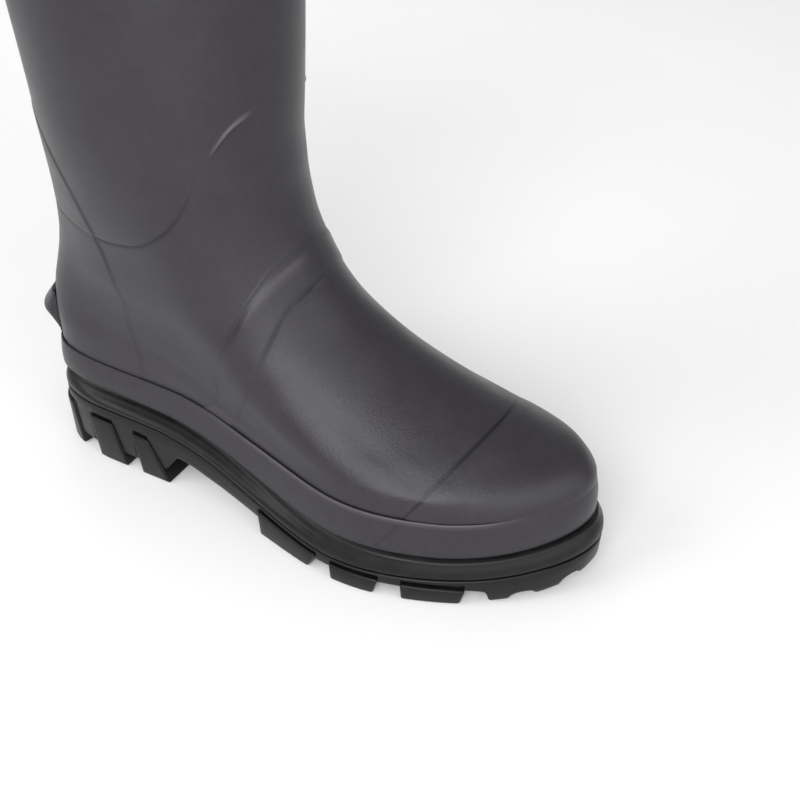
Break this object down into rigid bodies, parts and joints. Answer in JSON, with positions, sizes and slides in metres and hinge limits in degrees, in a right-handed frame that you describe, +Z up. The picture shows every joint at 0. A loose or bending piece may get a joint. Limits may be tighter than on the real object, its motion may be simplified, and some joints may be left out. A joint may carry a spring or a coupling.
{
  "type": "wellington boot",
  "caption": "Tall rubber wellington boot for the right foot, neoprene lined, with a proud rand, a heel kick spur and a lugged sole, open at the collar.",
  "frame": {"origin": "middle of the boot's footprint, on the floor", "axes": "+Z up, +Y from heel to toe, +X to the wearer's right, the outer side of this right boot"},
  "size_m": [0.1234, 0.32, 0.3851],
  "materials": {
    "upper_rubber": "matt moulded dark grey rubber over a neoprene lining",
    "sole_rubber": "satin black moulded rubber",
    "insole_felt": "black felt"
  },
  "bodies": {
    "root": {"upper": "upper_rubber", "rand": "upper_rubber", "heel_spur": "upper_rubber", "midsole": "sole_rubber", "outsole": "sole_rubber", "insole": "insole_felt"}
  },
  "joints": []
}
